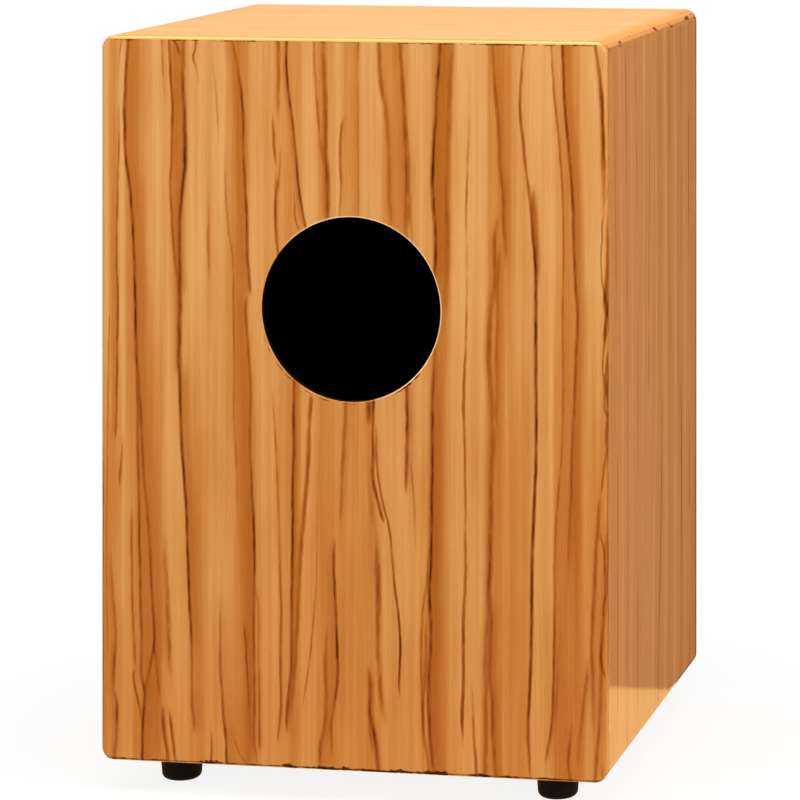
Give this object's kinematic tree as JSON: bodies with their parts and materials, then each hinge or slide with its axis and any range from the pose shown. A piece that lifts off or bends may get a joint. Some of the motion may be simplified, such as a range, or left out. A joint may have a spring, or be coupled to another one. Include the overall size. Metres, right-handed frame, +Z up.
{
  "type": "cajon",
  "caption": "Box drum to sit on: mitred wooden shell, screwed thin playing plate, back panel with a round sound hole, rubber feet, and snare strings tightened by screws from below.",
  "frame": {"origin": "on the floor under the centre of the box, at the feet's undersides", "axes": "+Z up; -Y the way the tapa (the playing plate) faces, so +Y the way the back panel with the sound hole faces; +X the left of a player who sits on the box facing -Y"},
  "size_m": [0.328, 0.3, 0.48],
  "materials": {
    "figured_veneer": "high gloss lacquer over boldly striped veneer",
    "side_veneer": "high gloss lacquer over straight-grained veneer",
    "seat_veneer": "high gloss lacquer over pale veneer",
    "plain_wood": "bare, sanded",
    "foot_rubber": "matt",
    "bright_steel": "zinc plated",
    "black_steel": "black oxide",
    "brass": "machined",
    "string_steel": "wound steel wire"
  },
  "bodies": {
    "cabinet": {"adjuster_block_left": "plain_wood", "adjuster_block_right": "plain_wood", "adjuster_washer_left": "bright_steel", "adjuster_washer_right": "bright_steel", "back_panel": "figured_veneer", "bottom_panel": "plain_wood", "corner_block_bottom_left": "plain_wood", "corner_block_bottom_right": "plain_wood", "corner_block_top_left": "plain_wood", "corner_block_top_right": "plain_wood", "foot_back_left": "foot_rubber", "foot_back_right": "foot_rubber", "foot_front_left": "foot_rubber", "foot_front_right": "foot_rubber", "foot_screw_back_left": "bright_steel", "foot_screw_back_right": "bright_steel", "foot_screw_front_left": "bright_steel", "foot_screw_front_right": "bright_steel", "foot_washer_back_left": "bright_steel", "foot_washer_back_right": "bright_steel", "foot_washer_front_left": "bright_steel", "foot_washer_front_right": "bright_steel", "left_side_panel": "side_veneer", "right_side_panel": "side_veneer", "seat_panel": "seat_veneer", "snare_string_left_inner": "string_steel", "snare_string_left_outer": "string_steel", "snare_string_right_inner": "string_steel", "snare_string_right_outer": "string_steel", "string_rail": "plain_wood", "tapa": "figured_veneer", "tapa_screw_bottom_1": "black_steel", "tapa_screw_bottom_2": "black_steel", "tapa_screw_bottom_3": "black_steel", "tapa_screw_left_1": "black_steel", "tapa_screw_left_2": "black_steel", "tapa_screw_left_3": "black_steel", "tapa_screw_left_4": "black_steel", "tapa_screw_left_5": "black_steel", "tapa_screw_right_1": "black_steel", "tapa_screw_right_2": "black_steel", "tapa_screw_right_3": "black_steel", "tapa_screw_right_4": "black_steel", "tapa_screw_right_5": "black_steel", "tapa_screw_top_1": "black_steel", "tapa_screw_top_2": "black_steel", "tapa_screw_top_3": "black_steel"},
    "adjuster_left": {"adjuster_screw_left": "black_steel"},
    "adjuster_right": {"adjuster_screw_right": "black_steel"},
    "carriage_left": {"string_carriage_left": "brass"},
    "carriage_right": {"string_carriage_right": "brass"}
  },
  "joints": [
    {"name": "adjuster_left_turn", "type": "hinge", "parent": "cabinet", "child": "adjuster_left", "pos_m": [0.034, -0.136, 0.0269], "axis": [0, 0, 1], "range_deg": [-2160, 720]},
    {"name": "carriage_left_slide", "type": "slide", "parent": "cabinet", "child": "carriage_left", "axis": [0, 0, -1], "range_m": [-0.006, 0.002], "deforming": ["snare_string_left_inner", "snare_string_left_outer"]},
    {"name": "adjuster_right_turn", "type": "hinge", "parent": "cabinet", "child": "adjuster_right", "pos_m": [-0.034, -0.136, 0.0269], "axis": [0, 0, 1], "range_deg": [-2160, 720]},
    {"name": "carriage_right_slide", "type": "slide", "parent": "cabinet", "child": "carriage_right", "axis": [0, 0, -1], "range_m": [-0.006, 0.002], "deforming": ["snare_string_right_inner", "snare_string_right_outer"]}
  ],
  "couplings": [
    {"joint": "adjuster_left_turn", "follows": "carriage_left_slide", "rad_per_m": 6283.2},
    {"joint": "adjuster_right_turn", "follows": "carriage_right_slide", "rad_per_m": 6283.2}
  ]
}
